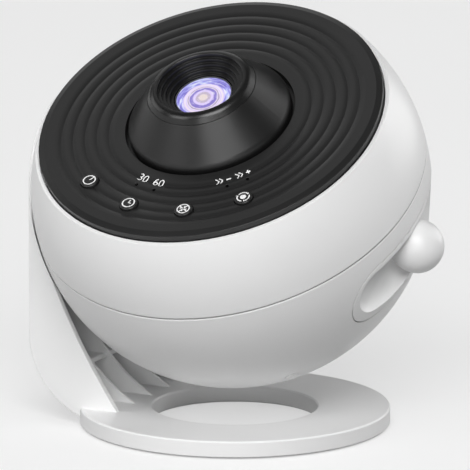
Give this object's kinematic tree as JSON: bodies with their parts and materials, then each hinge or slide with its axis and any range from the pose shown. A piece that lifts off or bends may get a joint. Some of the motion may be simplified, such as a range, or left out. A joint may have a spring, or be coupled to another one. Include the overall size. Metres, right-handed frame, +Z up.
{
  "type": "planetarium projector",
  "caption": "Ball-shaped home star projector that tilts on a one-sided arm with a ring foot, with a focus ring, push-buttons and a slide-out disc tray.",
  "frame": {"origin": "centre of the ring foot on the table, at the underside of its pads", "axes": "+X along the tilt axis from the stand's arm towards the disc tray and its knob, +Y towards the back, so the buttons face -Y, +Z up"},
  "size_m": [0.148, 0.1397, 0.1432],
  "materials": {
    "white_plastic": "satin white moulding",
    "black_panel": "fine matte black",
    "black_dome": "smooth satin black",
    "grey_plastic": "plain dark inner moulding",
    "lens_glass": "polished, coated",
    "star_film": "dark film",
    "clear_silicone": "soft translucent",
    "steel": "bright zinc plate",
    "aluminium": "plain extruded",
    "brass": "cut",
    "circuit_board": "green solder mask",
    "led_yellow": "phosphor",
    "light_pipe": "smoked clear"
  },
  "bodies": {
    "stand": {"stand": "white_plastic", "foot_pads": "clear_silicone", "pivot_washer": "steel", "pivot_screw": "steel"},
    "head": {"lower_shell": "white_plastic", "upper_shell": "white_plastic", "shell_screws": "steel", "screw_plugs": "white_plastic", "pivot_socket": "grey_plastic", "friction_washer": "grey_plastic", "top_panel": "black_panel", "indicator_lights": "light_pipe", "tact_switches": "grey_plastic", "button_board": "circuit_board", "retainer_ring": "grey_plastic", "barrel_guide": "grey_plastic", "chassis": "grey_plastic", "main_board": "circuit_board", "drive_motor": "steel", "lamp_tube": "grey_plastic", "condenser_lens": "lens_glass", "led_board": "circuit_board", "led_chip": "led_yellow", "heat_sink": "aluminium", "usb_inlet": "steel"},
    "focus": {"focus_ring": "black_dome", "lens_bezel": "black_dome", "focus_cam": "grey_plastic"},
    "lens": {"lens_barrel": "grey_plastic", "projection_lens": "lens_glass", "rear_lens": "lens_glass"},
    "tray": {"disc_tray": "grey_plastic", "tray_front": "white_plastic", "ball_knob": "white_plastic"},
    "disc": {"disc_carrier": "grey_plastic", "star_disc": "star_film"},
    "pinion": {"drive_pinion": "brass", "motor_shaft": "steel"},
    "power_button": {"power_button": "black_panel"},
    "timer_button": {"timer_button": "black_panel"},
    "light_button": {"light_button": "black_panel"},
    "speed_button": {"speed_button": "black_panel"}
  },
  "joints": [
    {"name": "body_tilt", "type": "hinge", "parent": "stand", "child": "head", "pos_m": [-0.0013, 0, 0.0842], "axis": [1, 0, 0], "range_deg": [-120.4, 59.6]},
    {"name": "focus_turn", "type": "hinge", "parent": "head", "child": "focus", "pos_m": [-0.0013, -0.01518, 0.11008], "axis": [0, -0.506, 0.8625], "range_deg": [-60, 60]},
    {"name": "lens_slide", "type": "slide", "parent": "head", "child": "lens", "axis": [0, -0.506, 0.8625], "range_m": [-0.0015, 0.0015]},
    {"name": "tray_slide", "type": "slide", "parent": "head", "child": "tray", "axis": [1, 0, 0], "range_m": [0, 0.088]},
    {"name": "disc_spin", "type": "hinge", "parent": "tray", "child": "disc", "pos_m": [-0.0013, 0.00911, 0.06867], "axis": [0, -0.506, 0.8625], "continuous": true},
    {"name": "pinion_spin", "type": "hinge", "parent": "head", "child": "pinion", "pos_m": [-0.0293, 0.00911, 0.06867], "axis": [0, -0.506, 0.8625], "continuous": true},
    {"name": "power_press", "type": "slide", "parent": "head", "child": "power_button", "axis": [0, 0.506, -0.8625], "range_m": [0, 0.0006], "stiffness_N_per_m": 600, "springref_m": -0.0005},
    {"name": "timer_press", "type": "slide", "parent": "head", "child": "timer_button", "axis": [0, 0.506, -0.8625], "range_m": [0, 0.0006], "stiffness_N_per_m": 600, "springref_m": -0.0005},
    {"name": "light_press", "type": "slide", "parent": "head", "child": "light_button", "axis": [0, 0.506, -0.8625], "range_m": [0, 0.0006], "stiffness_N_per_m": 600, "springref_m": -0.0005},
    {"name": "speed_press", "type": "slide", "parent": "head", "child": "speed_button", "axis": [0, 0.506, -0.8625], "range_m": [0, 0.0006], "stiffness_N_per_m": 600, "springref_m": -0.0005}
  ],
  "couplings": [
    {"joint": "focus_turn", "follows": "lens_slide", "rad_per_m": 698.13},
    {"joint": "pinion_spin", "follows": "disc_spin", "ratio": -3.6667}
  ]
}
